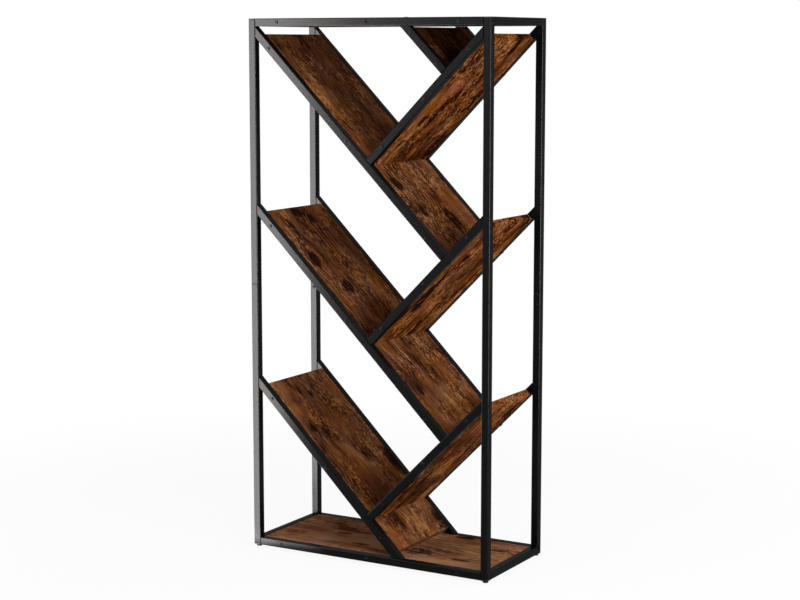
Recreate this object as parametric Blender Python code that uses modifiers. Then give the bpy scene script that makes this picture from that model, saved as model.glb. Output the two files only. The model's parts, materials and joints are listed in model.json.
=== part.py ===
"""Tree bookshelf: a square-tube frame whose slanted boards branch from its two sides.

Metres, +Z up. The origin is on the floor below the middle of the shelf, and the front faces -Y.
"""

import math

import bmesh
import bpy
from mathutils import Matrix, Vector

# Overall sizes
WIDTH = 0.700
DEPTH = 0.304
POST_HEIGHT = 1.386             # post tube with the plugs in both ends
LOWER_POST = 0.700              # from the post's bottom to the seam

# Square steel tube of the posts, rails and branches
TUBE = 0.020
TUBE_WALL = 0.0012
TUBE_CORNER = 0.0018            # outside corner radius
CORNER_STEPS = 2
END_PLATE = 0.002               # welded plate that takes an end bolt

# Branches
BRANCH_ANGLE = math.radians(45.0)
BRANCH_LEVELS = 3

# Boards
BOARD = 0.018                   # thickness, centred in the tube
BOARD_INSET = 0.026             # square board end, along the branch from the rail's end
CROWN_BOARD_INSET = 0.004       # the same under the top rail

# Sleeve that joins the two halves of a post
SLEEVE_LENGTH = 0.100
SLEEVE_WALL = 0.0015
SEAM_BOLT_DROP = 0.014          # first seam bolt below the seam
SLEEVE_BOLT_MARGIN = 0.009      # second seam bolt above the sleeve's end

# Plugs in the ends of the posts
PLUG_HEAD = 0.003
PLUG_DEPTH = 0.008

# Levelling feet
FOOT_HEIGHT = 0.005
FOOT_DIAMETER = 0.015
FOOT_EDGE = 0.001               # rounding of the foot's rim
STUD_DIAMETER = 0.006
STUD_LENGTH = 0.011
STUD_CHAMFER = 0.0008
FOOT_STEPS = 20

# Holes for the bolts and screws
BOLT_HOLE = 0.0055
SCREW_HOLE = 0.0045
PILOT_HOLE = 0.003
PILOT_DEPTH = 0.022
HOLE_SIDES = 8
RAIL_BOLT_OFFSET = 0.005        # end bolt of a level rail, off its axis to clear the plug
RAIL_SCREW_INSET = 0.066        # first screw of a level rail from the post
SCREW_FROM_POST = 0.058         # first screw of a branch from the post
SCREW_FROM_BUTT = 0.067         # last screw of a branch that falls to the right
SCREW_FROM_FORK = 0.056         # last screw of a branch that falls to the left
CROWN_SCREW_INSET = 0.025

# Clearances
GAP = 0.0003                    # between pieces that touch
FIT = 0.0003                    # around a sleeve or plug inside a tube, and around a stud
OVERSHOOT = 0.004               # how far a cutter runs past what it cuts

# Finishes: colour, roughness, metallic
BLACK_COAT = ((0.012, 0.012, 0.013), 0.45, 0.0)
BLACK_PLASTIC = ((0.010, 0.010, 0.010), 0.60, 0.0)
BARE_STEEL = ((0.350, 0.350, 0.360), 0.35, 1.0)
RUSTIC_WOOD = ((0.130, 0.052, 0.020), 0.50, 0.0)

X_AXIS = Vector((1.0, 0.0, 0.0))
Y_AXIS = Vector((0.0, 1.0, 0.0))
Z_AXIS = Vector((0.0, 0.0, 1.0))

# Places worked out from the sizes
POST_BOTTOM = FOOT_HEIGHT + GAP
POST_TOP = POST_BOTTOM + POST_HEIGHT
SEAM = POST_BOTTOM + LOWER_POST
INNER_X = WIDTH / 2 - TUBE              # inner faces of the posts
INNER_Y = DEPTH / 2 - TUBE
RAIL_X = WIDTH / 2 - TUBE / 2           # axes of the posts
RAIL_Y = DEPTH / 2 - TUBE / 2
TOP_AXIS = POST_TOP - TUBE / 2          # axes of the level rails
BOTTOM_AXIS = POST_BOTTOM + TUBE / 2
PITCH = (POST_HEIGHT - TUBE) / BRANCH_LEVELS
BOARD_HALF_Y = INNER_Y - GAP
TUBE_INSIDE = TUBE - 2 * TUBE_WALL
PLUG_WIDTH = TUBE_INSIDE - 2 * FIT
SIDES = (("left", -1), ("right", 1))
FACES = (("front", -1), ("rear", 1))


def new_collection(name):
    collection = bpy.data.collections.new(name)
    bpy.context.scene.collection.children.link(collection)
    return collection


def clear_scene():
    for obj in list(bpy.data.objects):
        bpy.data.objects.remove(obj)


clear_scene()
PARTS = new_collection("tree_bookshelf")
CUTTERS = new_collection("cutters")


def add_object(name, mesh, collection, matrix, finish=None):
    """Link a mesh at a place, either as a finished part or as a hidden cutter."""
    obj = bpy.data.objects.new(name, mesh)
    obj.matrix_world = matrix
    collection.objects.link(obj)
    if finish is None:
        obj.hide_render = True
        obj.display_type = "WIRE"
    else:
        obj.data.materials.append(make_material(name, finish))
    return obj


def make_material(name, finish):
    colour, roughness, metallic = finish
    material = bpy.data.materials.new(name)
    material.use_nodes = True
    shader = material.node_tree.nodes["Principled BSDF"]
    shader.inputs["Base Color"].default_value = (*colour, 1.0)
    shader.inputs["Roughness"].default_value = roughness
    shader.inputs["Metallic"].default_value = metallic
    return material


def mesh_from(bm, name):
    mesh = bpy.data.meshes.new(name)
    bm.to_mesh(mesh)
    bm.free()
    return mesh


def along_frame(start, end, side):
    """Frame at start whose Z runs to end and whose Y lies along side."""
    along = (end - start).normalized()
    across = side.cross(along)
    rotation = Matrix((across, side, along)).transposed()
    return Matrix.Translation(start) @ rotation.to_4x4()


def meet(point, direction, plane_point, plane_normal):
    """Where a line crosses a plane."""
    reach = (plane_point - point).dot(plane_normal) / direction.dot(plane_normal)
    return point + direction * reach


def add_bar(name, collection, start, end, width, thickness, corner=0.0, side=Y_AXIS, cuts=(None, None),
            finish=None):
    """Straight bar between two points of its axis, each end cut along the plane of its cut normal."""
    frame = along_frame(start, end, side)
    length = (end - start).length
    bm = bmesh.new()
    bmesh.ops.create_cube(bm, size=1.0)
    bmesh.ops.translate(bm, verts=bm.verts, vec=Z_AXIS / 2)
    bmesh.ops.scale(bm, verts=bm.verts, vec=(thickness, width, length))
    if corner > 0.0:
        long_edges = [edge for edge in bm.edges if edge.verts[0].co.z != edge.verts[1].co.z]
        bmesh.ops.bevel(bm, geom=long_edges, offset=corner, segments=CORNER_STEPS, profile=0.5,
                        affect="EDGES")
    to_local = frame.to_3x3().inverted()
    for vert in bm.verts:
        at_end = vert.co.z > length / 2
        normal = cuts[1] if at_end else cuts[0]
        if normal is not None:
            slant = to_local @ normal
            vert.co.z -= (slant.x * vert.co.x + slant.y * vert.co.y) / slant.z
    return add_object(name, mesh_from(bm, name), collection, frame, finish)


def boolean(part, tool, operation="DIFFERENCE"):
    modifier = part.modifiers.new(tool.name, "BOOLEAN")
    modifier.operation = operation
    modifier.solver = "EXACT"
    modifier.object = tool


def drill(part, holes):
    """Cut round holes, each given by its middle, direction, diameter and length."""
    bm = bmesh.new()
    for middle, direction, diameter, length in holes:
        turn = Z_AXIS.rotation_difference(direction).to_matrix().to_4x4()
        place = Matrix.Translation(middle) @ turn
        bmesh.ops.create_cone(bm, cap_ends=True, segments=HOLE_SIDES, radius1=diameter / 2,
                              radius2=diameter / 2, depth=length, matrix=place)
    name = part.name + "_holes"
    boolean(part, add_object(name, mesh_from(bm, name), CUTTERS, Matrix.Identity(4)))


def add_tube(name, start, end, side=Y_AXIS, cuts=(None, None), plates=False, wall=TUBE_WALL, size=TUBE,
             finish=BLACK_COAT):
    """Square tube, open at both ends or closed by welded end plates."""
    corner = TUBE_CORNER if size == TUBE else TUBE_CORNER - TUBE_WALL
    tube = add_bar(name, PARTS, start, end, size, size, corner, side, cuts, finish)
    tube.data.shade_smooth()
    tube.data.set_sharp_from_angle(angle=math.radians(50.0))
    along = (end - start).normalized()
    limits = []
    for point, cut, inward in ((start, cuts[0], along), (end, cuts[1], -along)):
        steepness = 1.0 if cut is None else abs(cut.dot(along))
        depth = END_PLATE / steepness if plates else -OVERSHOOT
        limits.append(point + inward * depth)
    hollow = size - 2 * wall
    bore = add_bar(name + "_bore", CUTTERS, limits[0], limits[1], hollow, hollow, 0.0, side, cuts)
    boolean(tube, bore)
    return tube


def plate_hole(point, normal):
    """Bolt hole through an end plate, deep enough to reach the hollow behind it."""
    return (point, normal, BOLT_HOLE, 2 * (END_PLATE + OVERSHOOT / 2))


def through_hole(middle, direction, diameter):
    return (middle, direction, diameter, TUBE + 2 * OVERSHOOT)


class Branch:
    """A slanted line of the tree: where its upper face leaves the post, and which way it falls."""

    def __init__(self, side, level):
        self.side = side
        drop = (level - 1) * PITCH
        self.corner = Vector((side * INNER_X, 0.0, POST_TOP - TUBE - GAP - drop))
        self.along = Vector((-side * math.cos(BRANCH_ANGLE), 0.0, -math.sin(BRANCH_ANGLE)))
        self.up = Vector((-side * math.sin(BRANCH_ANGLE), 0.0, math.cos(BRANCH_ANGLE)))
        self.axis = self.corner - self.up * (TUBE / 2)
        self.board_face = self.corner - self.up * ((TUBE - BOARD) / 2)

    def at(self, plane_point, plane_normal):
        """Point of the axis on a plane."""
        return meet(self.axis, self.along, plane_point, plane_normal)

    def rail_top(self):
        """Plane that a rail ending on this branch is cut to."""
        return self.corner + self.up * GAP

    def board_top(self):
        """Plane that a board ending on this branch is cut to."""
        return self.board_face + self.up * GAP


def post_face(side):
    """Plane on the inner face of the posts of one side, a gap away from it."""
    return Vector((side * (INNER_X - GAP), 0.0, 0.0))


def post_bolt_heights():
    """Heights of the bolts that cross a post into the rails and branches."""
    heights = [BOTTOM_AXIS + RAIL_BOLT_OFFSET, TOP_AXIS - RAIL_BOLT_OFFSET]
    for level in range(1, BRANCH_LEVELS + 1):
        branch = Branch(-1, level)
        heights.append(branch.at(post_face(-1), X_AXIS).z)
    return heights


def add_posts():
    """Four posts, each of two halves joined by a sleeve and closed by a plug at either end."""
    half_sleeve = SLEEVE_LENGTH / 2
    seam_bolts = (SEAM - SEAM_BOLT_DROP, SEAM - half_sleeve + SLEEVE_BOLT_MARGIN)
    halves = (("lower", POST_BOTTOM + PLUG_HEAD + GAP, SEAM - GAP / 2),
              ("upper", SEAM + GAP / 2, POST_TOP - PLUG_HEAD - GAP))
    for face_name, face in FACES:
        for side_name, side in SIDES:
            place = f"{face_name}_{side_name}"
            axis = Vector((side * RAIL_X, face * RAIL_Y, 0.0))
            inner = Vector((side * RAIL_X, face * INNER_Y, 0.0))
            seam_holes = [(inner + Z_AXIS * z, Y_AXIS, BOLT_HOLE, 2 * (TUBE_WALL + FIT + OVERSHOOT))
                          for z in seam_bolts]
            for half_name, low, high in halves:
                post = add_tube(f"post_{place}_{half_name}", axis + Z_AXIS * low, axis + Z_AXIS * high)
                holes = [through_hole(axis + Z_AXIS * z, X_AXIS, BOLT_HOLE)
                         for z in post_bolt_heights() if low < z < high]
                drill(post, holes + (seam_holes if half_name == "lower" else []))
            sleeve = add_tube(f"sleeve_{place}", axis + Z_AXIS * (SEAM - half_sleeve),
                              axis + Z_AXIS * (SEAM + half_sleeve), wall=SLEEVE_WALL, size=PLUG_WIDTH,
                              finish=BARE_STEEL)
            drill(sleeve, seam_holes)
            add_plug(f"cap_{place}", axis + Z_AXIS * POST_TOP, -1)
            insert = add_plug(f"insert_{place}", axis + Z_AXIS * POST_BOTTOM, 1)
            bore_length = 2 * (PLUG_HEAD + PLUG_DEPTH + OVERSHOOT)
            drill(insert, [(axis + Z_AXIS * POST_BOTTOM, Z_AXIS, STUD_DIAMETER + 2 * FIT, bore_length)])


def add_plug(name, outer_end, inward):
    """Plug with a head of the tube's outline and a square body that fits inside the tube."""
    head_end = outer_end + Z_AXIS * (inward * PLUG_HEAD)
    body_start = outer_end + Z_AXIS * (inward * PLUG_HEAD / 2)
    body_end = head_end + Z_AXIS * (inward * PLUG_DEPTH)
    plug = add_bar(name, PARTS, outer_end, head_end, TUBE, TUBE, TUBE_CORNER, finish=BLACK_PLASTIC)
    body = add_bar(name + "_body", CUTTERS, body_start, body_end, PLUG_WIDTH, PLUG_WIDTH)
    boolean(plug, body, "UNION")
    return plug


def add_level_rails():
    """Level rails between the posts at the top and the bottom, with the boards that they frame."""
    crown_x = crown_branch_span()[0].x
    trunk_x = branch_span(-1, BRANCH_LEVELS)[1].x
    levels = (("top", TOP_AXIS, -1, crown_x), ("bottom", BOTTOM_AXIS, 1, trunk_x))
    screws = (-INNER_X + RAIL_SCREW_INSET, 0.0, INNER_X - RAIL_SCREW_INSET)
    half_x = INNER_X - GAP
    half_y = INNER_Y - GAP
    for level_name, z, inward, branch_x in levels:
        bolt_shift = Z_AXIS * (inward * RAIL_BOLT_OFFSET)
        for face_name, face in FACES:
            middle = Vector((0.0, face * RAIL_Y, z))
            start = middle - X_AXIS * half_x
            end = middle + X_AXIS * half_x
            rail = add_tube(f"rail_{level_name}_{face_name}", start, end, plates=True)
            holes = [plate_hole(start + bolt_shift, X_AXIS), plate_hole(end + bolt_shift, X_AXIS)]
            holes += [through_hole(middle + X_AXIS * x, Y_AXIS, SCREW_HOLE) for x in screws]
            holes.append(through_hole(middle + X_AXIS * branch_x, Z_AXIS, BOLT_HOLE))
            drill(rail, holes)
        for side_name, side in SIDES:
            middle = Vector((side * RAIL_X, 0.0, z))
            add_tube(f"rail_{level_name}_{side_name}", middle - Y_AXIS * half_y, middle + Y_AXIS * half_y,
                     side=X_AXIS)
        start = Vector((-half_x, 0.0, z))
        stations = [start + X_AXIS * (x + half_x) for x in screws]
        add_board(f"board_{level_name}", start, start + X_AXIS * (2 * half_x), (None, None), stations)


def add_board(name, start, end, cuts, stations):
    """Board between a front and a rear rail, with a pilot hole for each screw in both long edges."""
    board = add_bar(name, PARTS, start, end, 2 * BOARD_HALF_Y, BOARD, cuts=cuts, finish=RUSTIC_WOOD)
    holes = []
    for station in stations:
        for _, face in FACES:
            edge = station + Y_AXIS * (face * BOARD_HALF_Y)
            holes.append((edge, Y_AXIS, PILOT_HOLE, 2 * PILOT_DEPTH))
    drill(board, holes)


def branch_span(side, level):
    """Ends of a branch rail's axis: at its post, and on the branch or bottom rail below it."""
    branch = Branch(side, level)
    start = branch.at(post_face(side), X_AXIS)
    if side > 0:
        below = Branch(-1, level)
        return start, branch.at(below.rail_top(), below.up), below.up
    if level < BRANCH_LEVELS:
        below = Branch(1, level + 1)
        return start, branch.at(below.rail_top(), below.up), below.up
    floor = Vector((0.0, 0.0, POST_BOTTOM + TUBE + GAP))
    return start, branch.at(floor, Z_AXIS), Z_AXIS


def crown_branch_span():
    """Ends of the short branch that starts under the top rail."""
    branch = Branch(-1, 0)
    below = Branch(1, 1)
    start = branch.at(Vector((0.0, 0.0, POST_TOP - TUBE - GAP)), Z_AXIS)
    return start, branch.at(below.rail_top(), below.up), below.up


def cross_bolts(side, level):
    """Bolts that cross a branch rail into the ends of the branches resting on it."""
    through = Branch(side, level)
    if side > 0:
        resting = [Branch(-1, level - 1)]
    else:
        resting = [Branch(1, level)] if level > 0 else []
    return [(branch.at(through.axis, through.up), branch.along) for branch in resting]


def add_branch(name, side, level, span, start_cut, screws, board_ends):
    """A pair of rails with the board that they carry."""
    start, end, end_cut = span
    for face_name, face in FACES:
        shift = Y_AXIS * (face * RAIL_Y)
        rail = add_tube(f"{name}_rail_{face_name}", start + shift, end + shift, cuts=(start_cut, end_cut),
                        plates=True)
        holes = [plate_hole(start + shift, start_cut), plate_hole(end + shift, end_cut)]
        holes += [through_hole(screw + shift, Y_AXIS, SCREW_HOLE) for screw in screws]
        holes += [through_hole(middle + shift, direction, BOLT_HOLE)
                  for middle, direction in cross_bolts(side, level)]
        drill(rail, holes)
    board_start, board_end, board_cut = board_ends
    add_board(f"{name}_board", board_start, board_end, (None, board_cut), screws)


def square_end(branch, edge_point, inset):
    """Middle of a square board end, set in along the branch from a point of the rail's upper edge."""
    return branch.at(edge_point + branch.along * inset, branch.along)


def screw_row(span, first, last, count=3):
    """Screws along a branch, evenly spaced between the first and the last."""
    start, end, _ = span
    along = (end - start).normalized()
    reach = (end - start).length - first - last
    return [start + along * (first + reach * step / (count - 1)) for step in range(count)]


def add_left_branches():
    """Branches that leave the left posts and fall to the right."""
    for level in range(1, BRANCH_LEVELS + 1):
        branch = Branch(-1, level)
        span = branch_span(-1, level)
        board_start = square_end(branch, branch.corner, BOARD_INSET)
        if level < BRANCH_LEVELS:
            below = Branch(1, level + 1)
            board_ends = (board_start, branch.at(below.board_top(), below.up), below.up)
        else:
            foot = meet(branch.corner, branch.along, Vector((0.0, 0.0, POST_BOTTOM + TUBE)), Z_AXIS)
            board_ends = (board_start, square_end(branch, foot, -BOARD_INSET), branch.along)
        screws = screw_row(span, SCREW_FROM_POST, SCREW_FROM_BUTT)
        add_branch(f"left_branch_{level}", -1, level, span, X_AXIS, screws, board_ends)


def add_right_branches():
    """Branches that leave the right posts and fall to the left."""
    for level in range(1, BRANCH_LEVELS + 1):
        branch = Branch(1, level)
        below = Branch(-1, level)
        span = branch_span(1, level)
        board_ends = (square_end(branch, branch.corner, BOARD_INSET),
                      branch.at(below.board_top(), below.up), below.up)
        screws = screw_row(span, SCREW_FROM_POST, SCREW_FROM_FORK)
        add_branch(f"right_branch_{level}", 1, level, span, X_AXIS, screws, board_ends)


def add_crown_branch():
    """Short branch between the top rail and the uppermost right branch."""
    branch = Branch(-1, 0)
    below = Branch(1, 1)
    span = crown_branch_span()
    head = meet(branch.corner, branch.along, Vector((0.0, 0.0, POST_TOP - TUBE)), Z_AXIS)
    board_ends = (square_end(branch, head, CROWN_BOARD_INSET),
                  branch.at(below.board_top(), below.up), below.up)
    screws = screw_row(span, CROWN_SCREW_INSET, CROWN_SCREW_INSET, count=2)
    add_branch("crown_branch", -1, 0, span, Z_AXIS, screws, board_ends)


def foot_profile():
    """Outline of a levelling foot, down its outer side from the stud's tip to the floor."""
    rim = FOOT_DIAMETER / 2
    stud = STUD_DIAMETER / 2
    tip = FOOT_HEIGHT + STUD_LENGTH
    return [(0.0, tip), (stud - STUD_CHAMFER, tip), (stud, tip - STUD_CHAMFER), (stud, FOOT_HEIGHT),
            (rim - FOOT_EDGE, FOOT_HEIGHT), (rim, FOOT_HEIGHT - FOOT_EDGE), (rim, FOOT_EDGE),
            (rim - FOOT_EDGE, 0.0), (0.0, 0.0)]


def add_feet():
    """Turned levelling feet, each with its origin on its screw axis at the floor."""
    points = foot_profile()
    for face_name, face in FACES:
        for side_name, side in SIDES:
            name = f"foot_{face_name}_{side_name}"
            mesh = bpy.data.meshes.new(name)
            edges = [(index, index + 1) for index in range(len(points) - 1)]
            mesh.from_pydata([(radius, 0.0, height) for radius, height in points], edges, [])
            place = Matrix.Translation((side * RAIL_X, face * RAIL_Y, 0.0))
            foot = add_object(name, mesh, PARTS, place, BLACK_PLASTIC)
            turn = foot.modifiers.new("turn", "SCREW")
            turn.steps = FOOT_STEPS
            turn.render_steps = FOOT_STEPS
            turn.use_merge_vertices = True
            turn.merge_threshold = 0.00001
            turn.use_smooth_shade = True


add_posts()
add_level_rails()
add_left_branches()
add_right_branches()
add_crown_branch()
add_feet()
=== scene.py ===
"""Looks of the tree bookshelf: finishes, screws and bolts, floor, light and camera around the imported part.

Metres, +Z up, the front looks along -Y. The CAD nodes stay where they are. This script gives them
finishes and soft edges, and seats a head on every screw and bolt hole that it finds in them.
"""

import json
import math
from collections import namedtuple

import bmesh
import bpy
from mathutils import Matrix, Vector


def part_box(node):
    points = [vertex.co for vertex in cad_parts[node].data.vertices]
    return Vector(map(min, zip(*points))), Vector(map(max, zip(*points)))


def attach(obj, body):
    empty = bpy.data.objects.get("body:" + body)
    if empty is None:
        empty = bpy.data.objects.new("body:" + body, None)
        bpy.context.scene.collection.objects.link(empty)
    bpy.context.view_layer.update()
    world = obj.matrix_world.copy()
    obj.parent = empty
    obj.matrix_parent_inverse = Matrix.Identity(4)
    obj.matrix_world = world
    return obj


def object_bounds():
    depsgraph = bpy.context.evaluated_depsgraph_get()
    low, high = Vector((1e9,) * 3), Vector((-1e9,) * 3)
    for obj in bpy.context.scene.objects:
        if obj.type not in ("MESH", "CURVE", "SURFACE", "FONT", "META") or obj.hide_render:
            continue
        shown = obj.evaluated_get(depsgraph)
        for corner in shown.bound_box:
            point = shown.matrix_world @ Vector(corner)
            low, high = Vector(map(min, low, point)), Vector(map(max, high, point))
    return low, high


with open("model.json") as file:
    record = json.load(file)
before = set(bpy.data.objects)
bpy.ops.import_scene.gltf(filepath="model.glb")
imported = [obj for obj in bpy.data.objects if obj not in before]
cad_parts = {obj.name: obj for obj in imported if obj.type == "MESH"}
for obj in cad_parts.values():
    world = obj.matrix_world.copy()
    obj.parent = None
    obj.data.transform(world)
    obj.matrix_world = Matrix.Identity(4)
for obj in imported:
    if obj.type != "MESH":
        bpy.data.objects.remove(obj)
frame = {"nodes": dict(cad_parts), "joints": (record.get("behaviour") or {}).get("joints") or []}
nodes = frame["nodes"]
cad_low, cad_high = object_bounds()

# Directions and angles
RIGHT = Vector((1, 0, 0))
BACK = Vector((0, 1, 0))
UP = Vector((0, 0, 1))
SLANT = math.radians(45)
FALL = Vector((math.cos(SLANT), 0, -math.sin(SLANT)))
RISE = Vector((math.cos(SLANT), 0, math.sin(SLANT)))
QUARTER_TURN = math.radians(90)

# Words in the nodes' names
LEVELS = (1, 2, 3)
SIDES = ("left", "right")
DEPTHS = ("front", "rear")
HALVES = ("lower", "upper")
PLASTIC_KINDS = ("cap", "insert", "foot")

# Edges and shading
MERGE = 1e-5
CREASE = math.radians(50)
FLAT_ANGLE = math.radians(30)
JOIN_ANGLE = math.radians(1)
BOARD_EDGE = 0.0007
PLUG_EDGE = 0.0003
ROUND_STEPS = 2
CHAMFER_STEPS = 1
OPEN_END_EDGE = 0.0006
OPEN_END_REACH = 0.003
CLOSED_END_EDGE = 0.0010
CLOSED_END_REACH = 0.021
SKIN = 0.0008

# Screw and bolt holes: points of a rim, the longest step between them, and how level and round they lie
HOLE_SIDES = 8
RIM_STEP = 0.0026
FLAT = 2e-5
ROUND = 0.0002
ORDER_DIGITS = 4

# Screw and bolt heads
HEAD_STEPS = 32
SHOULDER_STEPS = 6
RIM_SHARE = 0.3
FLAT_SHARE = 0.92
SHANK_LENGTH = 0.0030
TURN_STEP = math.radians(137.5)
SCREW_HEAD = 0.0092
SCREW_RISE = 0.0020
SCREW_SHANK = 0.0040
CROSS_REACH = 0.0045
CROSS_WIDTH = 0.0012
CROSS_DEPTH = 0.0014
CROSS_TAPER = 0.5
BOLT_HEAD = 0.0092
BOLT_RISE = 0.0026
BOLT_SHANK = 0.0050
FLAT_RISE = 0.0008
SOCKET_SIDES = 6
SOCKET_FLATS = 0.0030
SOCKET_DEPTH = 0.0017
SOCKET_TAPER = 0.9


# Shader building

def new_material(name):
    """A new node material, its tree and its shader."""
    material = bpy.data.materials.new(name)
    material.use_nodes = True
    tree = material.node_tree
    return material, tree, tree.nodes["Principled BSDF"]


def add_node(tree, kind, inputs=None, **settings):
    """A node with its settings, and its inputs as numbers or as links from other nodes' sockets."""
    made = tree.nodes.new(kind)
    for key, value in settings.items():
        setattr(made, key, value)
    for key, value in (inputs or {}).items():
        if isinstance(value, bpy.types.NodeSocket):
            tree.links.new(value, made.inputs[key])
        else:
            made.inputs[key].default_value = value
    return made


def math_node(tree, operation, first, second):
    """The result of one calculation with two numbers."""
    return add_node(tree, "ShaderNodeMath", {0: first, 1: second}, operation=operation).outputs[0]


def vector_node(tree, operation, first, second):
    """The result of one calculation with two vectors."""
    return add_node(tree, "ShaderNodeVectorMath", {0: first, 1: second}, operation=operation).outputs[0]


def vector_length(tree, vector):
    """The length of a vector."""
    return add_node(tree, "ShaderNodeVectorMath", {0: vector}, operation="LENGTH").outputs["Value"]


def object_place(tree):
    """The point's place in the object's own coordinates."""
    return add_node(tree, "ShaderNodeTexCoord").outputs["Object"]


def stretch(tree, vector, scale):
    """The pattern coordinates, times a factor on each axis."""
    return vector_node(tree, "MULTIPLY", vector, scale)


def noise(tree, vector, scale, detail, roughness=0.55, distortion=0.0):
    """The grey value of a noise pattern."""
    inputs = {
        "Vector": vector,
        "Scale": scale,
        "Detail": detail,
        "Roughness": roughness,
        "Distortion": distortion,
    }
    return add_node(tree, "ShaderNodeTexNoise", inputs).outputs["Fac"]


def streaks(tree, vector, cells, detail, roughness=0.55, distortion=0.0):
    """A noise pattern with so many cells in a metre along the grain and across it."""
    along, across = cells
    return noise(tree, stretch(tree, vector, (along, across, across)), 1, detail, roughness, distortion)


def centred(tree, value, weight):
    """A pattern's swing about its middle, times weight."""
    return math_node(tree, "MULTIPLY", math_node(tree, "SUBTRACT", value, 0.5), weight)


def remap(tree, value, span, to_span):
    """A value from one span, eased and kept within it, onto another span."""
    inputs = {
        "Value": value,
        "From Min": span[0],
        "From Max": span[1],
        "To Min": to_span[0],
        "To Max": to_span[1],
    }
    return add_node(tree, "ShaderNodeMapRange", inputs, interpolation_type="SMOOTHSTEP").outputs[0]


def around(middle, swing):
    """The span about a middle."""
    return middle - swing, middle + swing


def ramp(tree, value, stops):
    """A colour ramp with its stops as (place, colour)."""
    made = add_node(tree, "ShaderNodeValToRGB", {"Fac": value})
    elements = made.color_ramp.elements
    while len(elements) < len(stops):
        elements.new(0.5)
    for element, (place, colour) in zip(elements, stops):
        element.position = place
        element.color = (*colour, 1)
    return made.outputs["Color"]


def relief(tree, height, strength, depth):
    """The normals of a height pattern."""
    inputs = {"Height": height, "Strength": strength, "Distance": depth}
    return add_node(tree, "ShaderNodeBump", inputs).outputs[0]


def set_patterns(tree, shader, colour, roughness, normal):
    """Joins what varies over the surface to the shader."""
    tree.links.new(colour, shader.inputs["Base Color"])
    tree.links.new(roughness, shader.inputs["Roughness"])
    tree.links.new(normal, shader.inputs["Normal"])


def set_numbers(shader, numbers):
    """Sets what is the same all over the surface on the shader."""
    for key, number in numbers.items():
        shader.inputs[key].default_value = number


# Finishes of metal and plastic

NOISE_SPAN = (0.3, 0.7)
COAT_COLOURS = ((0.35, (0.0024, 0.0024, 0.0025)), (0.65, (0.0044, 0.0044, 0.0046)))
COAT_ROUGHNESS = (0.45, 0.60)
COAT_SHEEN = 0.10
COAT_BLUR = 0.26
PLASTIC_COLOURS = ((0.3, (0.008, 0.008, 0.009)), (0.7, (0.014, 0.014, 0.015)))
PLASTIC_ROUGHNESS = (0.50, 0.62)
PLASTIC_SHEEN = 0.10
OXIDE_COLOURS = ((0.35, (0.005, 0.005, 0.0055)), (0.75, (0.012, 0.012, 0.013)))
OXIDE_ROUGHNESS = (0.40, 0.55)
OXIDE_SHEEN = 0.11
OXIDE_BLUR = 0.28
STEEL_COLOURS = ((0.3, (0.030, 0.030, 0.032)), (0.7, (0.060, 0.060, 0.063)))
STEEL_ROUGHNESS = (0.30, 0.45)
STEEL_LINES = (900, 900, 12)


def powder_coat(name, sheen):
    """Black powder coat with a fine orange peel, and patches that are a little duller or greyer."""
    material, tree, shader = new_material(name)
    place = object_place(tree)
    patches = noise(tree, place, scale=9, detail=3)
    specks = noise(tree, place, scale=420, detail=2)
    peel = noise(tree, place, scale=900, detail=3, roughness=0.6)
    colour = ramp(tree, specks, COAT_COLOURS)
    roughness = remap(tree, patches, NOISE_SPAN, COAT_ROUGHNESS)
    set_patterns(tree, shader, colour, roughness, relief(tree, peel, strength=0.05, depth=0.0002))
    numbers = {"Specular IOR Level": 0.0, "Coat Weight": sheen, "Coat Roughness": COAT_BLUR}
    set_numbers(shader, numbers)
    return material


def moulded_plastic():
    """Black moulded plastic with a fine spark-eroded grain."""
    material, tree, shader = new_material("black_moulded_plastic")
    place = object_place(tree)
    grain = noise(tree, place, scale=1400, detail=4, roughness=0.7)
    cloud = noise(tree, place, scale=60, detail=2)
    colour = ramp(tree, cloud, PLASTIC_COLOURS)
    roughness = remap(tree, cloud, NOISE_SPAN, PLASTIC_ROUGHNESS)
    set_patterns(tree, shader, colour, roughness, relief(tree, grain, strength=0.2, depth=0.0002))
    set_numbers(shader, {"Specular IOR Level": PLASTIC_SHEEN})
    return material


def black_oxide():
    """Blackened steel of the screws and bolts, a little brighter and darker in fine marks."""
    material, tree, shader = new_material("black_oxide_steel")
    marks = noise(tree, object_place(tree), scale=1500, detail=3)
    colour = ramp(tree, marks, OXIDE_COLOURS)
    roughness = remap(tree, marks, NOISE_SPAN, OXIDE_ROUGHNESS)
    set_patterns(tree, shader, colour, roughness, relief(tree, marks, strength=0.1, depth=0.0001))
    numbers = {"Specular IOR Level": 0.0, "Coat Weight": OXIDE_SHEEN, "Coat Roughness": OXIDE_BLUR}
    set_numbers(shader, numbers)
    return material


def drawn_steel():
    """Dark mill-scale steel of the joining sleeves, with draw lines along the tube."""
    material, tree, shader = new_material("drawn_steel")
    lines = noise(tree, stretch(tree, object_place(tree), STEEL_LINES), scale=1, detail=3)
    colour = ramp(tree, lines, STEEL_COLOURS)
    roughness = remap(tree, lines, NOISE_SPAN, STEEL_ROUGHNESS)
    set_patterns(tree, shader, colour, roughness, relief(tree, lines, strength=0.1, depth=0.0001))
    set_numbers(shader, {"Metallic": 1})
    return material


# Finish of the boards

# Colours of the print from its darkest tone to its lightest
WOOD_STOPS = (
    (0.04, (0.008, 0.0023, 0.0009)),
    (0.24, (0.030, 0.0092, 0.0032)),
    (0.42, (0.076, 0.0250, 0.0083)),
    (0.56, (0.128, 0.0435, 0.0146)),
    (0.70, (0.190, 0.0685, 0.0233)),
    (0.85, (0.275, 0.1096, 0.0380)),
    (1.00, (0.380, 0.1742, 0.0667)),
)

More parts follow.
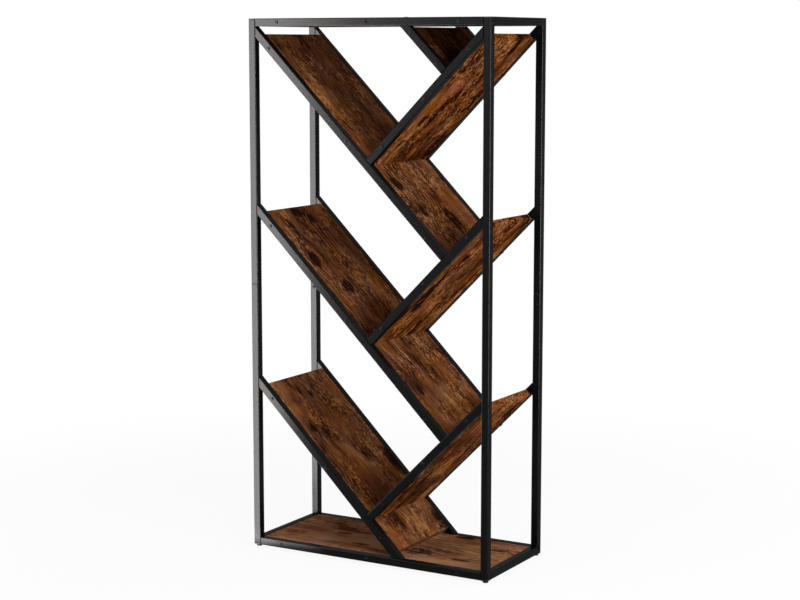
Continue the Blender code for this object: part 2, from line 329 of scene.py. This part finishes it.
# Broad patterns of the print: cells in a metre along and across the grain, detail, roughness, weight
WOOD_BROAD = (
    ((3, 6), 2, 0.50, 0.45),
    ((8, 12), 3, 0.55, 0.72),
    ((20, 28), 4, 0.65, 0.55),
)

# Fine patterns, which are calmer in some places and busier in others
WOOD_FINE = (
    ((34, 62), 4, 0.72, 0.75),
    ((120, 150), 3, 0.85, 2.00),
    ((60, 420), 2, 0.60, 0.30),
)

# Ragged marks: cells in a metre along and across the grain, noise where they start and are full, weight
WOOD_MARKS = (
    ((13, 20), (0.52, 0.72), -0.32),
    ((10, 48), (0.54, 0.70), 0.20),
    ((11, 120), (0.57, 0.68), -0.22),
    ((110, 180), (0.61, 0.72), -0.28),
)

# Step in the print from one board to the next, and distortion of the patterns
PRINT_STEP = (1.37, 0.83, 0.41)
SWIRL = 0.3

# Slow changes of the print: cells in a metre along and across the grain, and how far they go
WANDER_CELLS = (6, 9)
WANDER = 0.05
BUSY_CELLS = (9, 13)
BUSY_SPAN = (0.38, 0.62)
BUSY_SHARE = (0.15, 1.80)
WARMTH_CELLS = (6, 9)
HUE_SWING = 0.004
DEPTH_CELLS = (12, 17)
DEPTH_SWING = 0.06

# Wavy dark lines: the crest that shows, how dark it is, and the places that have such lines
CREST_SPAN = (0.62, 0.95)
CREST_DARK = 0.40
CREST_CELLS = (5, 9)
CREST_PLACES = (0.46, 0.60)

# Knots, with distances in their own radii: their ragged rim, how dark they are, and how they bend the grain
RAGGED = 1.2
KNOT_RIM = (0.65, 1.25)
KNOT_DARK = 0.46
KNOT_REACH = (0.2, 3.0)
KNOT_PULL = -0.65
NO_KNOT = 9.0

# Embossed pores, and roughness from the dark tones to the light ones
PORE_CELLS = (60, 480)
TONE_SPAN = (0.1, 0.8)
WOOD_ROUGHNESS = (0.88, 0.78)

# Kinds of board: turn about Y, the print's middle tone, contrast, hue and saturation, the surface's sheen,
# the share of the fine patterns, and how far the print is drawn out along the grain
WoodKind = namedtuple("WoodKind", "turn middle contrast hue saturation sheen fine drawn")
WOOD_KINDS = {
    "left": WoodKind(-SLANT, 0.63, 1.10, 0.500, 1.00, 0.020, 0.80, 1.35),
    "right": WoodKind(SLANT, 0.58, 1.75, 0.498, 1.05, 0.005, 0.70, 1.50),
    # Crown board: its dark middle tone is painted shade of the narrow bay under the top board
    "crown": WoodKind(-SLANT, 0.30, 1.00, 0.500, 1.04, 0.010, 0.80, 1.35),
    # Level boards: a painted sheen greys their print in place of gloss, and painted light makes it lighter
    "board": WoodKind(0.0, 0.87, 1.20, 0.499, 0.90, 0.000, 0.45, 2.20),
}

# Main knots of each board, one a painted shadow: place along and across it, then half length and half width
KNOTS = {
    "left_branch_1_board": (
        (-0.555, -0.085, 0.022, 0.008),
        (-0.520, 0.025, 0.035, 0.022),
        (-0.650, -0.100, 0.024, 0.020),
    ),
    "left_branch_2_board": (
        (-0.835, -0.010, 0.020, 0.024),
        (-0.810, 0.030, 0.016, 0.012),
        (-0.790, -0.080, 0.026, 0.009),
        (-0.680, -0.095, 0.026, 0.020),
        (-0.580, -0.045, 0.022, 0.018),
        (-0.235, -0.095, 0.015, 0.007),
    ),
    "left_branch_3_board": (
        (-0.370, -0.095, 0.012, 0.009),
        (-0.470, 0.000, 0.010, 0.008),
        (-0.200, 0.120, 0.050, 0.020),
        (-0.010, 0.125, 0.030, 0.022),
    ),
    "right_branch_1_board": (
        (0.980, 0.105, 0.020, 0.016),
        (0.890, -0.080, 0.022, 0.010),
        (0.785, 0.120, 0.045, 0.026),
        (0.810, -0.090, 0.018, 0.008),
    ),
    "right_branch_2_board": (
        (0.735, -0.065, 0.020, 0.012),
        (0.630, -0.090, 0.040, 0.010),
        (0.555, -0.085, 0.022, 0.016),
        (0.450, 0.010, 0.018, 0.008),
    ),
    "board_bottom": (
        (-0.160, 0.000, 0.025, 0.010),
        (-0.065, -0.070, 0.030, 0.008),
        # Painted shadow beside the foot of the lowest left branch, drawn as a dark knot
        (0.100, -0.055, 0.045, 0.022),
        (0.280, 0.055, 0.028, 0.012),
        (0.235, -0.075, 0.025, 0.008),
        (0.145, 0.120, 0.030, 0.012),
    ),
}


def knot_field(tree, board, ragged, knots):
    """How far a point lies from the nearest knot, 1 at its rim, and how far the grain is pushed aside."""
    nearest = NO_KNOT
    push = 0.0
    for along, across, length, width in knots:
        from_knot = vector_node(tree, "SUBTRACT", board, (along, across, 0))
        in_radii = stretch(tree, from_knot, (1 / length, 1 / width, 0))
        distance = math_node(tree, "ADD", vector_length(tree, in_radii), ragged)
        nearest = math_node(tree, "MINIMUM", nearest, distance)
        aside = add_node(tree, "ShaderNodeSeparateXYZ", {0: from_knot}).outputs["Y"]
        pull = remap(tree, distance, KNOT_REACH, (KNOT_PULL, 0))
        push = math_node(tree, "ADD", push, math_node(tree, "MULTIPLY", aside, pull))
    return nearest, push


def wavy_lines(tree, print_place, grain, weight):
    """Dark wavy lines along the grain, in some places only."""
    inputs = {"Vector": grain, "Scale": 26, "Distortion": 5, "Detail": 3, "Detail Scale": 1.5}
    waves = add_node(tree, "ShaderNodeTexWave", inputs, bands_direction="Y").outputs["Fac"]
    lines = remap(tree, waves, CREST_SPAN, (0, weight))
    where = remap(tree, streaks(tree, print_place, CREST_CELLS, detail=3), CREST_PLACES, (0, 1))
    return math_node(tree, "MULTIPLY", lines, where)


def print_tone(tree, print_place, grain, from_knot, kind):
    """Tone of the print: stains, streaks, fibres, specks, lines and knots about the kind's middle tone."""
    tone = kind.middle
    for cells, detail, roughness, weight in WOOD_BROAD:
        pattern = streaks(tree, grain, cells, detail, roughness, SWIRL)
        tone = math_node(tree, "ADD", tone, centred(tree, pattern, weight * kind.contrast))
    busy = remap(tree, streaks(tree, print_place, BUSY_CELLS, detail=3), BUSY_SPAN, BUSY_SHARE)
    for cells, detail, roughness, weight in WOOD_FINE:
        pattern = streaks(tree, grain, cells, detail, roughness, SWIRL)
        swing = centred(tree, pattern, weight * kind.contrast * kind.fine)
        tone = math_node(tree, "ADD", tone, math_node(tree, "MULTIPLY", swing, busy))
    for cells, span, weight in WOOD_MARKS:
        pattern = streaks(tree, grain, cells, detail=5, roughness=0.6, distortion=SWIRL)
        tone = math_node(tree, "ADD", tone, remap(tree, pattern, span, (0, weight * kind.contrast)))
    lines = wavy_lines(tree, print_place, grain, CREST_DARK * kind.contrast)
    tone = math_node(tree, "SUBTRACT", tone, lines)
    return math_node(tree, "SUBTRACT", tone, remap(tree, from_knot, KNOT_RIM, (KNOT_DARK, 0)))


def print_colour(tree, print_place, tone, kind):
    """Colour of the print's tones, a little warmer or deeper from place to place."""
    warmth = streaks(tree, print_place, WARMTH_CELLS, detail=2)
    depth = streaks(tree, print_place, DEPTH_CELLS, detail=3)
    inputs = {
        "Color": ramp(tree, tone, WOOD_STOPS),
        "Hue": remap(tree, warmth, NOISE_SPAN, around(kind.hue, HUE_SWING)),
        "Saturation": remap(tree, depth, NOISE_SPAN, around(kind.saturation, DEPTH_SWING)),
    }
    return add_node(tree, "ShaderNodeHueSaturation", inputs).outputs[0]


def rustic_wood(name, kind, number, knots):
    """Rustic brown laminate with its grain along the board. Each number has its own place in the print."""
    material, tree, shader = new_material(name)
    inputs = {"Vector": object_place(tree), "Rotation": (0, kind.turn, 0)}
    board = add_node(tree, "ShaderNodeMapping", inputs).outputs[0]
    print_place = vector_node(tree, "ADD", board, tuple(step * number for step in PRINT_STEP))

    # The grain wanders slowly, and runs round the knots
    ragged = centred(tree, noise(tree, print_place, scale=60, detail=4, roughness=0.65), RAGGED)
    from_knot, push = knot_field(tree, board, ragged, knots)
    wander = centred(tree, streaks(tree, print_place, WANDER_CELLS, detail=2), WANDER)
    shift = add_node(tree, "ShaderNodeCombineXYZ", {"Y": math_node(tree, "ADD", wander, push)}).outputs[0]
    wandering = vector_node(tree, "ADD", print_place, shift)
    grain = stretch(tree, wandering, (1 / kind.drawn, 1, 1))

    tone = print_tone(tree, print_place, grain, from_knot, kind)
    colour = print_colour(tree, print_place, tone, kind)
    roughness = remap(tree, tone, TONE_SPAN, WOOD_ROUGHNESS)
    pores = streaks(tree, grain, PORE_CELLS, detail=3, roughness=0.65)
    set_patterns(tree, shader, colour, roughness, relief(tree, pores, strength=0.25, depth=0.0004))
    set_numbers(shader, {"Specular IOR Level": kind.sheen})
    return material


# Soft edges

def compare(group, operation, first, second):
    """Whether a comparison of two numbers holds."""
    return add_node(group, "FunctionNodeCompare", {0: first, 1: second}, operation=operation).outputs[0]


def smooth_shading(group, flat_angle):
    """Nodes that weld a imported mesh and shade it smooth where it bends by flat_angle to CREASE.

    Gives the mesh, and which of its edges are sharper than CREASE.
    """
    group.interface.new_socket("Geometry", in_out="INPUT", socket_type="NodeSocketGeometry")
    group.interface.new_socket("Geometry", in_out="OUTPUT", socket_type="NodeSocketGeometry")
    packed = group.nodes.new("NodeGroupInput").outputs[0]
    weld = add_node(group, "GeometryNodeMergeByDistance", {"Geometry": packed, "Distance": MERGE})
    inputs = {"Geometry": weld.outputs[0], "Name": "custom_normal"}
    bare = add_node(group, "GeometryNodeRemoveAttribute", inputs)
    inputs = {"Geometry": bare.outputs[0], "Shade Smooth": True}
    faces = add_node(group, "GeometryNodeSetShadeSmooth", inputs)
    angle = add_node(group, "GeometryNodeInputMeshEdgeAngle").outputs["Unsigned Angle"]
    sharp = compare(group, "GREATER_THAN", angle, CREASE)
    slight = compare(group, "LESS_THAN", angle, flat_angle)
    creased = math_node(group, "MAXIMUM", sharp, slight)
    inputs = {"Geometry": faces.outputs[0], "Selection": creased, "Shade Smooth": False}
    edges = add_node(group, "GeometryNodeSetShadeSmooth", inputs, domain="EDGE")
    return edges.outputs[0], sharp


def smooth_edges():
    """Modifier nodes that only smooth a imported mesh."""
    group = bpy.data.node_groups.new("smooth_edges", "GeometryNodeTree")
    mesh, _ = smooth_shading(group, 0.0)
    end = group.nodes.new("NodeGroupOutput")
    group.links.new(mesh, end.inputs[0])
    return group


def tube_edges(name, along, side, reach):
    """Modifier nodes that smooth a packed tube, and mark its outer edges within reach of its ends."""
    group = bpy.data.node_groups.new(name, "GeometryNodeTree")
    mesh, sharp = smooth_shading(group, FLAT_ANGLE)
    place = add_node(group, "GeometryNodeInputPosition").outputs[0]

    def inside(direction):
        """How far a point lies inside the tube's span in a direction."""
        reading = add_node(group, "ShaderNodeVectorMath", {0: place, 1: direction}, operation="DOT_PRODUCT")
        value = reading.outputs["Value"]
        span = add_node(group, "GeometryNodeAttributeStatistic", {"Geometry": mesh, "Attribute": value})
        low = math_node(group, "SUBTRACT", value, span.outputs["Min"])
        high = math_node(group, "SUBTRACT", span.outputs["Max"], value)
        return math_node(group, "MINIMUM", low, high)

    depth = math_node(group, "MINIMUM", inside(side), inside(along.cross(side)))
    outer = math_node(group, "LESS_THAN", depth, SKIN)
    near_end = math_node(group, "LESS_THAN", inside(along), reach)
    marked = math_node(group, "MULTIPLY", math_node(group, "MULTIPLY", outer, near_end), sharp)
    inputs = {"Geometry": mesh, "Name": "bevel_weight_edge", "Value": marked}
    kept = add_node(group, "GeometryNodeStoreNamedAttribute", inputs, data_type="FLOAT", domain="EDGE")
    end = group.nodes.new("NodeGroupOutput")
    group.links.new(kept.outputs[0], end.inputs[0])
    return group


SMOOTH = smooth_edges()

# Shading nodes and chamfer of each kind of tube
TUBES = {
    "post": (tube_edges("post_edges", UP, BACK, OPEN_END_REACH), OPEN_END_EDGE),
    "side": (tube_edges("side_edges", BACK, RIGHT, OPEN_END_REACH), OPEN_END_EDGE),
    "front": (tube_edges("level_edges", RIGHT, BACK, CLOSED_END_REACH), CLOSED_END_EDGE),
    "left": (tube_edges("falling_edges", FALL, BACK, CLOSED_END_REACH), CLOSED_END_EDGE),
    "right": (tube_edges("rising_edges", RISE, BACK, CLOSED_END_REACH), CLOSED_END_EDGE),
}


def tube_kind(name):
    """Which way a tube runs: a post, a level rail along the front or a side, or a slanted branch."""
    first, *others = name.split("_")
    if first == "rail":
        return "front" if others[-1] in DEPTHS else "side"
    return "left" if first == "crown" else first


def add_shading(piece, group):
    """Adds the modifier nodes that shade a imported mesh."""
    piece.modifiers.new("smooth_edges", "NODES").node_group = group


def join_flats(piece):
    """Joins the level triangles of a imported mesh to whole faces."""
    join = piece.modifiers.new("whole_faces", "DECIMATE")
    join.decimate_type = "DISSOLVE"
    join.angle_limit = JOIN_ANGLE


def add_bevel(piece, width, limit):
    """An edge modifier that also notes which faces the light should follow."""
    bevel = piece.modifiers.new("edges", "BEVEL")
    bevel.width = width
    bevel.limit_method = limit
    bevel.face_strength_mode = "FSTR_ALL"
    return bevel


def keep_flats(piece):
    """Keeps the flats of a piece with rounded edges flat in the light."""
    flats = piece.modifiers.new("flats", "WEIGHTED_NORMAL")
    flats.keep_sharp = True
    flats.use_face_influence = True


def soften(node, width):
    """Rounds the sharp edges of a CAD node by width."""
    piece = nodes[node]
    add_shading(piece, SMOOTH)
    bevel = add_bevel(piece, width, "ANGLE")
    bevel.angle_limit = CREASE
    bevel.segments = ROUND_STEPS
    keep_flats(piece)


def soften_tube(node, finish):
    """Chamfers the outer edges at the ends of a tube, and gives the chamfers a finish."""
    piece = nodes[node]
    group, width = TUBES[tube_kind(node)]
    add_shading(piece, group)
    join_flats(piece)
    bevel = add_bevel(piece, width, "WEIGHT")
    bevel.segments = CHAMFER_STEPS
    bevel.use_clamp_overlap = False
    bevel.loop_slide = False
    piece.data.materials.append(finish)
    bevel.material = len(piece.data.materials) - 1
    keep_flats(piece)


# New meshes and objects

def to_mesh(made, name):
    """A new mesh from a bmesh, which is freed."""
    mesh = bpy.data.meshes.new(name)
    made.to_mesh(mesh)
    made.free()
    return mesh


def add_object(name, data):
    """A new object in the scene."""
    made = bpy.data.objects.new(name, data)
    bpy.context.scene.collection.objects.link(made)
    return made


# Screws and bolts

def hole_centres(node, outward):
    """Centres of the round holes in the flat side of a CAD node that faces outward."""
    points = [vertex.co for vertex in nodes[node].data.vertices]
    reach = max(point.dot(outward) for point in points)
    loose = []
    for point in points:
        on_side = reach - point.dot(outward) < FLAT
        if on_side and all((point - other).length > MERGE for other in loose):
            loose.append(point.copy())
    centres = []
    while loose:
        rim = [loose.pop()]
        for point in rim:
            near = [other for other in loose if (other - point).length < RIM_STEP]
            rim += near
            loose = [other for other in loose if other not in near]
        centre = sum(rim, Vector()) / len(rim)
        radii = [(point - centre).length for point in rim]
        if len(rim) == HOLE_SIDES and max(radii) - min(radii) < ROUND:
            centres.append(centre)
    return sorted(centres, key=hole_order)


def hole_order(centre):
    """What holes are sorted by: from left to right, then from front to rear, then upwards."""
    return round(centre.x, ORDER_DIGITS), round(centre.y, ORDER_DIGITS), centre.z


def turned(name, profile):
    """A closed body turned about Z from a profile of (radius, height) that starts and ends on the axis."""
    made = bmesh.new()
    points = [made.verts.new((radius, 0, height)) for radius, height in profile]
    edges = [made.edges.new(pair) for pair in zip(points, points[1:])]
    bmesh.ops.spin(made, geom=points + edges, cent=(0, 0, 0), axis=UP, angle=math.tau, steps=HEAD_STEPS,
                   use_merge=True)
    bmesh.ops.remove_doubles(made, verts=made.verts, dist=MERGE)
    on_axis = [vertex for vertex in made.verts if vertex.co.xy.length < MERGE]
    bmesh.ops.dissolve_verts(made, verts=on_axis)
    bmesh.ops.recalc_face_normals(made, faces=made.faces)
    return to_mesh(made, name)


def pocket(name, outline, depth, top, taper):
    """A pocket cutter from top down by depth, whose floor is its outline times taper."""
    made = bmesh.new()
    high = [made.verts.new((x, y, top + depth)) for x, y in outline]
    mouth = [made.verts.new((x, y, top)) for x, y in outline]
    floor = [made.verts.new((x * taper, y * taper, top - depth)) for x, y in outline]
    made.faces.new(high)
    made.faces.new(reversed(floor))
    for upper, lower in ((high, mouth), (mouth, floor)):
        for start in range(len(outline)):
            end = (start + 1) % len(outline)
            made.faces.new((upper[end], upper[start], lower[start], lower[end]))
    bmesh.ops.recalc_face_normals(made, faces=made.faces)
    return to_mesh(made, name)


def cut(body, cutter):
    """body's mesh with the cutter's taken out of it, shaded smooth but for its sharp edges."""
    body_object = add_object(body.name, body)
    cutter_object = add_object(cutter.name, cutter)
    taken = body_object.modifiers.new("pocket", "BOOLEAN")
    taken.operation = "DIFFERENCE"
    taken.object = cutter_object
    scene_state = bpy.context.evaluated_depsgraph_get()
    mesh = bpy.data.meshes.new_from_object(body_object.evaluated_get(scene_state))
    for made in (body_object, cutter_object):
        bpy.data.objects.remove(made)
    mesh.shade_smooth()
    mesh.set_sharp_from_angle(angle=CREASE)
    return mesh


def head_profile(head, rise, shank):
    """Profile of a pan head, flat within a rounded shoulder, with its shank, seated at height 0."""
    rim = rise * RIM_SHARE
    radius = rise - rim
    flat = head / 2 - radius
    shoulder = []
    for step in range(1, SHOULDER_STEPS + 1):
        angle = QUARTER_TURN * step / SHOULDER_STEPS
        shoulder.append((flat + radius * math.cos(angle), rim + radius * math.sin(angle)))
    shaft = [(0, -SHANK_LENGTH), (shank / 2, -SHANK_LENGTH), (shank / 2, 0)]
    return shaft + [(head / 2, 0), (head / 2, rim)] + shoulder + [(flat * FLAT_SHARE, rise), (0, rise)]


def cross_outline():
    """Outline of a cross recess."""
    long = CROSS_REACH / 2
    half = CROSS_WIDTH / 2
    arm = [(long, -half), (long, half), (half, half)]
    outline = []
    for quarter in range(4):
        cosine = round(math.cos(QUARTER_TURN * quarter))
        sine = round(math.sin(QUARTER_TURN * quarter))
        outline += [(x * cosine - y * sine, x * sine + y * cosine) for x, y in arm]
    return outline


def hexagon_outline():
    """Outline of a hexagon socket."""
    radius = SOCKET_FLATS / math.sqrt(3)
    angles = [math.tau * corner / SOCKET_SIDES for corner in range(SOCKET_SIDES)]
    return [(radius * math.cos(angle), radius * math.sin(angle)) for angle in angles]


def screw_mesh():
    """Pan-head screw with a cross recess."""
    body = turned("screw", head_profile(SCREW_HEAD, SCREW_RISE, SCREW_SHANK))
    return cut(body, pocket("cross", cross_outline(), CROSS_DEPTH, SCREW_RISE, CROSS_TAPER))


def bolt_mesh(rise):
    """Bolt with a domed head of that rise and a hexagon socket."""
    body = turned("bolt", head_profile(BOLT_HEAD, rise, BOLT_SHANK))
    return cut(body, pocket("hexagon", hexagon_outline(), SOCKET_DEPTH, rise, SOCKET_TAPER))


def seat_at(name, fastener, centres, outward, material):
    """One piece with a fastener at each centre, each turned a little further."""
    stand = outward.to_track_quat("Z", "Y").to_matrix().to_4x4()
    made = bmesh.new()
    for count, centre in enumerate(centres):
        before = len(made.verts)
        made.from_mesh(fastener)
        made.verts.ensure_lookup_table()
        turn = Matrix.Rotation(TURN_STEP * (count + len(name)), 4, "Z")
        placed = Matrix.Translation(centre) @ stand @ turn
        bmesh.ops.transform(made, matrix=placed, verts=made.verts[before:])
    mesh = to_mesh(made, name)
    mesh.materials.append(material)
    piece = add_object(name, mesh)
    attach(piece, "frame")


def seat(name, fastener, node, outward, material):
    """One piece with a fastener in each hole of a node's side."""
    centres = hole_centres(node, outward)
    if not centres:
        raise ValueError(f"no holes found in {node} towards {tuple(outward)}")
    seat_at(name, fastener, centres, outward, material)


def branch_name(side, level):
    """Name of the branch that starts at the post of that side, counted from the top."""
    return f"{side}_branch_{level}"


def outward_side(side):
    """Outward direction of the left or right side of the shelf."""
    return -RIGHT if side == "left" else RIGHT


def under_side(side):
    """Outward direction of the lower side of a branch that starts at the post of that side."""
    lean = -1 if side == "left" else 1
    return Vector((lean * math.sin(SLANT), 0, -math.cos(SLANT)))


def add_fasteners():
    """Screws into the boards, and bolts at the posts, seams and branch joints."""
    screw = screw_mesh()
    bolt = bolt_mesh(BOLT_RISE)
    flat_bolt = bolt_mesh(FLAT_RISE)
    oxide = black_oxide()
    branches = [branch_name(side, level) for side in SIDES for level in LEVELS] + ["crown_branch"]
    for depth in DEPTHS:
        outward = -BACK if depth == "front" else BACK
        carriers = [f"{branch}_rail_{depth}" for branch in branches]
        carriers += [f"rail_top_{depth}", f"rail_bottom_{depth}"]
        for carrier in carriers:
            seat(f"screws_{carrier}", screw, carrier, outward, oxide)
        for side in SIDES:
            post = f"post_{depth}_{side}"
            for half in HALVES:
                seat(f"bolts_{post}_{half}", bolt, f"{post}_{half}", outward_side(side), oxide)
            seat(f"bolts_{post}_seam", bolt, f"{post}_lower", -outward, oxide)
            for level in LEVELS:
                carrier = f"{branch_name(side, level)}_rail_{depth}"
                if hole_centres(carrier, under_side(side)):
                    seat(f"bolts_{carrier}", bolt, carrier, under_side(side), oxide)
        seat(f"bolts_rail_top_{depth}", flat_bolt, f"rail_top_{depth}", UP, oxide)
        seat(f"bolts_rail_bottom_{depth}", flat_bolt, f"rail_bottom_{depth}", -UP, oxide)

    # The left and right bottom rails have no hole for their one screw, which sits in the middle
    for side in SIDES:
        low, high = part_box(f"rail_bottom_{side}")
        centre = (low + high) / 2
        centre.x = low.x if side == "left" else high.x
        seat_at(f"screw_rail_bottom_{side}", screw, [centre], outward_side(side), oxide)


# Finish of every node

def dress(node, material):
    """Gives a CAD node a finish."""
    nodes[node].data.materials.clear()
    nodes[node].data.materials.append(material)


def finish_nodes():
    """Finishes and soft edges of the CAD nodes."""
    coat = powder_coat("black_powder_coat", COAT_SHEEN)
    thin_coat = powder_coat("black_thin_coat", 0.0)
    plastic = moulded_plastic()
    steel = drawn_steel()
    boards = sorted(name for name in nodes if name.endswith("_board") or name.startswith("board_"))
    for number, name in enumerate(boards, start=1):
        kind = WOOD_KINDS[name.split("_")[0]]
        wood = rustic_wood(f"rustic_{name}", kind, number, KNOTS.get(name, ()))
        dress(name, wood)
        soften(name, BOARD_EDGE)
    for name in nodes:
        word = name.split("_")[0]
        if name in boards:
            continue
        if word in PLASTIC_KINDS:
            dress(name, plastic)
            soften(name, PLUG_EDGE)
        elif word == "sleeve":
            dress(name, steel)
            add_shading(nodes[name], SMOOTH)
        else:
            dress(name, coat)
            soften_tube(name, thin_coat)


# Floor, light and camera

# The floor, just clear of the feet when they are screwed right out, and fully white away from the object
FLOOR_SIZE = 60.0
FLOOR_GAP = 0.0002
FLOOR_TONE = 0.85
FLOOR_GLOW = 0.92
SHADOW_REACH = (0.9, 2.2)

# Light of the room, and colours of the lamps
AMBIENT = 0.22
WHITE = (1.0, 1.0, 1.0)
WARM = (1.0, 0.955, 0.955)

# The large lamp that shows in the left posts: its corner is close to the foot of the front left post
GLINT_SIZE = (0.95, 2.70)
GLINT_FACING = Vector((0, 0.766, 0.643))
GLINT_WAY = Vector((-0.429, -0.840, 0.945)).normalized()
GLINT_CORNER = Vector((-0.330, cad_low.y - 0.04, 0.005))

# How far the two low lamps lie above the floor
LAMP_RISE = 0.0022

# Camera of the photograph's view
CAMERA_PLACE = Vector((2.3638, -4.0512, 1.3254))
CAMERA_YAW = math.radians(30.141)
CAMERA_PITCH = math.radians(7.975)
CAMERA_LENS = 82.09
SENSOR = 36.0


def floor_level():
    """Height of the floor."""
    travel = max(joint["range_m"][1] for joint in frame["joints"])
    return cad_low.z - travel - FLOOR_GAP


def seen_directly(tree):
    """1 for rays that come from the camera, from a reflection or through glass, and otherwise 0."""
    path = add_node(tree, "ShaderNodeLightPath")
    seen = math_node(tree, "MAXIMUM", path.outputs["Is Camera Ray"], path.outputs["Is Glossy Ray"])
    return math_node(tree, "MAXIMUM", seen, path.outputs["Is Transmission Ray"])


def pale_floor():
    """Floor finish that shows white but for the object's soft shadow."""
    material = bpy.data.materials.new("pale_floor")
    material.use_nodes = True
    tree = material.node_tree
    tree.nodes.clear()
    distance = vector_length(tree, object_place(tree))
    glow = remap(tree, distance, SHADOW_REACH, (FLOOR_GLOW, 1))
    share = math_node(tree, "MULTIPLY", glow, seen_directly(tree))
    grey = (FLOOR_TONE, FLOOR_TONE, FLOOR_TONE, 1)
    lit = add_node(tree, "ShaderNodeBsdfDiffuse", {"Color": grey}).outputs[0]
    white = add_node(tree, "ShaderNodeEmission", {"Color": (*WHITE, 1), "Strength": 1}).outputs[0]
    mixed = add_node(tree, "ShaderNodeMixShader", {0: share, 1: lit, 2: white}).outputs[0]
    add_node(tree, "ShaderNodeOutputMaterial", {"Surface": mixed})
    return material


def add_floor():
    """A plain pale floor."""
    made = bmesh.new()
    bmesh.ops.create_grid(made, x_segments=2, y_segments=2, size=FLOOR_SIZE / 2)
    mesh = to_mesh(made, "floor")
    mesh.materials.append(pale_floor())
    floor = add_object("floor", mesh)
    floor.location.z = floor_level()


def set_world():
    """A white room to look at, which lights the object only at the level AMBIENT."""
    world = bpy.data.worlds.new("studio")
    bpy.context.scene.world = world
    world.use_nodes = True
    tree = world.node_tree
    tree.nodes.clear()
    strength = remap(tree, seen_directly(tree), (0, 1), (AMBIENT, 1))
    back = add_node(tree, "ShaderNodeBackground", {"Color": (*WHITE, 1), "Strength": strength}).outputs[0]
    add_node(tree, "ShaderNodeOutputWorld", {"Surface": back})


def add_softbox(name, place, facing, height_way, size, radiance, lights=True, glints=True, tint=WHITE):
    """An even soft lamp with its height along height_way. It may give no dull light, or no glints."""
    width, height = size
    lamp = bpy.data.lights.new(name, "AREA")
    lamp.color = tint
    lamp.shape = "RECTANGLE"
    lamp.size = width
    lamp.size_y = height
    lamp.energy = radiance * math.pi * width * height
    box = add_object(name, lamp)
    back = -Vector(facing).normalized()
    across = Vector(height_way).cross(back).normalized()
    axes = Matrix((across, back.cross(across), back)).transposed()
    box.matrix_world = Matrix.Translation(place) @ axes.to_4x4()
    box.visible_camera = False
    box.visible_diffuse = lights
    box.visible_glossy = glints


def add_lighting():
    """Soft lamps that light the object from both sides of the front, from above and from the back right."""
    add_softbox("softbox_left", place=(-1.60, -1.30, 0.95), facing=(1.3, 1.3, -0.2), height_way=UP,
                size=(1.20, 1.85), radiance=2.0)
    add_softbox("softbox_right", place=(2.60, -1.20, 1.30), facing=(-2.5, 1.2, -0.7), height_way=UP,
                size=(1.80, 1.80), radiance=6.0)
    add_softbox("softbox_top", place=(0.30, -0.60, 3.20), facing=(-0.3, 0.6, -2.5), height_way=BACK,
                size=(2.00, 2.00), radiance=2.6)
    add_softbox("fill_back", place=(2.30, 1.60, 1.10), facing=(-2.3, -1.6, -0.4), height_way=UP,
                size=(1.80, 1.80), radiance=3.0, glints=False)


def add_glints():
    """Lamps that give no dull light, only a sheen, which shows mostly on the black coat."""
    width, height = GLINT_SIZE
    across = GLINT_WAY.cross(GLINT_FACING).normalized()
    middle = GLINT_CORNER + GLINT_WAY * height / 2 + across * width / 2
    low = floor_level() + LAMP_RISE
    add_softbox("glint_left", place=middle, facing=GLINT_FACING, height_way=GLINT_WAY, size=GLINT_SIZE,
                radiance=57.5, lights=False, tint=WARM)
    add_softbox("glint_right", place=(2.57, -1.295, 0.70), facing=(-0.889, 0.458, 0.0), height_way=UP,
                size=(0.70, 1.40), radiance=85.0, lights=False)
    add_softbox("glint_low", place=(-0.333, -0.233, low), facing=UP, height_way=(-0.316, -0.949, 0),
                size=(0.25, 0.08), radiance=40.0, lights=False, tint=WARM)
    add_softbox("glint_side", place=(-0.473, -0.073, low), facing=UP, height_way=(-0.542, -0.840, 0),
                size=(0.07, 0.27), radiance=40.0, lights=False, tint=WARM)
    add_softbox("glint_front", place=(-1.75, -3.00, 2.45), facing=(1.75, 3.0, -1.0), height_way=UP,
                size=(3.00, 1.90), radiance=5.0, lights=False)


def add_camera():
    """The photograph's view, from the front right and a little below the top."""
    lens = bpy.data.cameras.new("camera")
    lens.lens = CAMERA_LENS
    lens.sensor_width = SENSOR
    camera = add_object("camera", lens)
    camera.location = CAMERA_PLACE
    camera.rotation_euler = (QUARTER_TURN - CAMERA_PITCH, 0, CAMERA_YAW)
    bpy.context.scene.camera = camera


finish_nodes()
add_fasteners()
add_floor()
set_world()
add_lighting()
add_glints()
add_camera()

bpy.context.scene.view_settings.view_transform = "Standard"
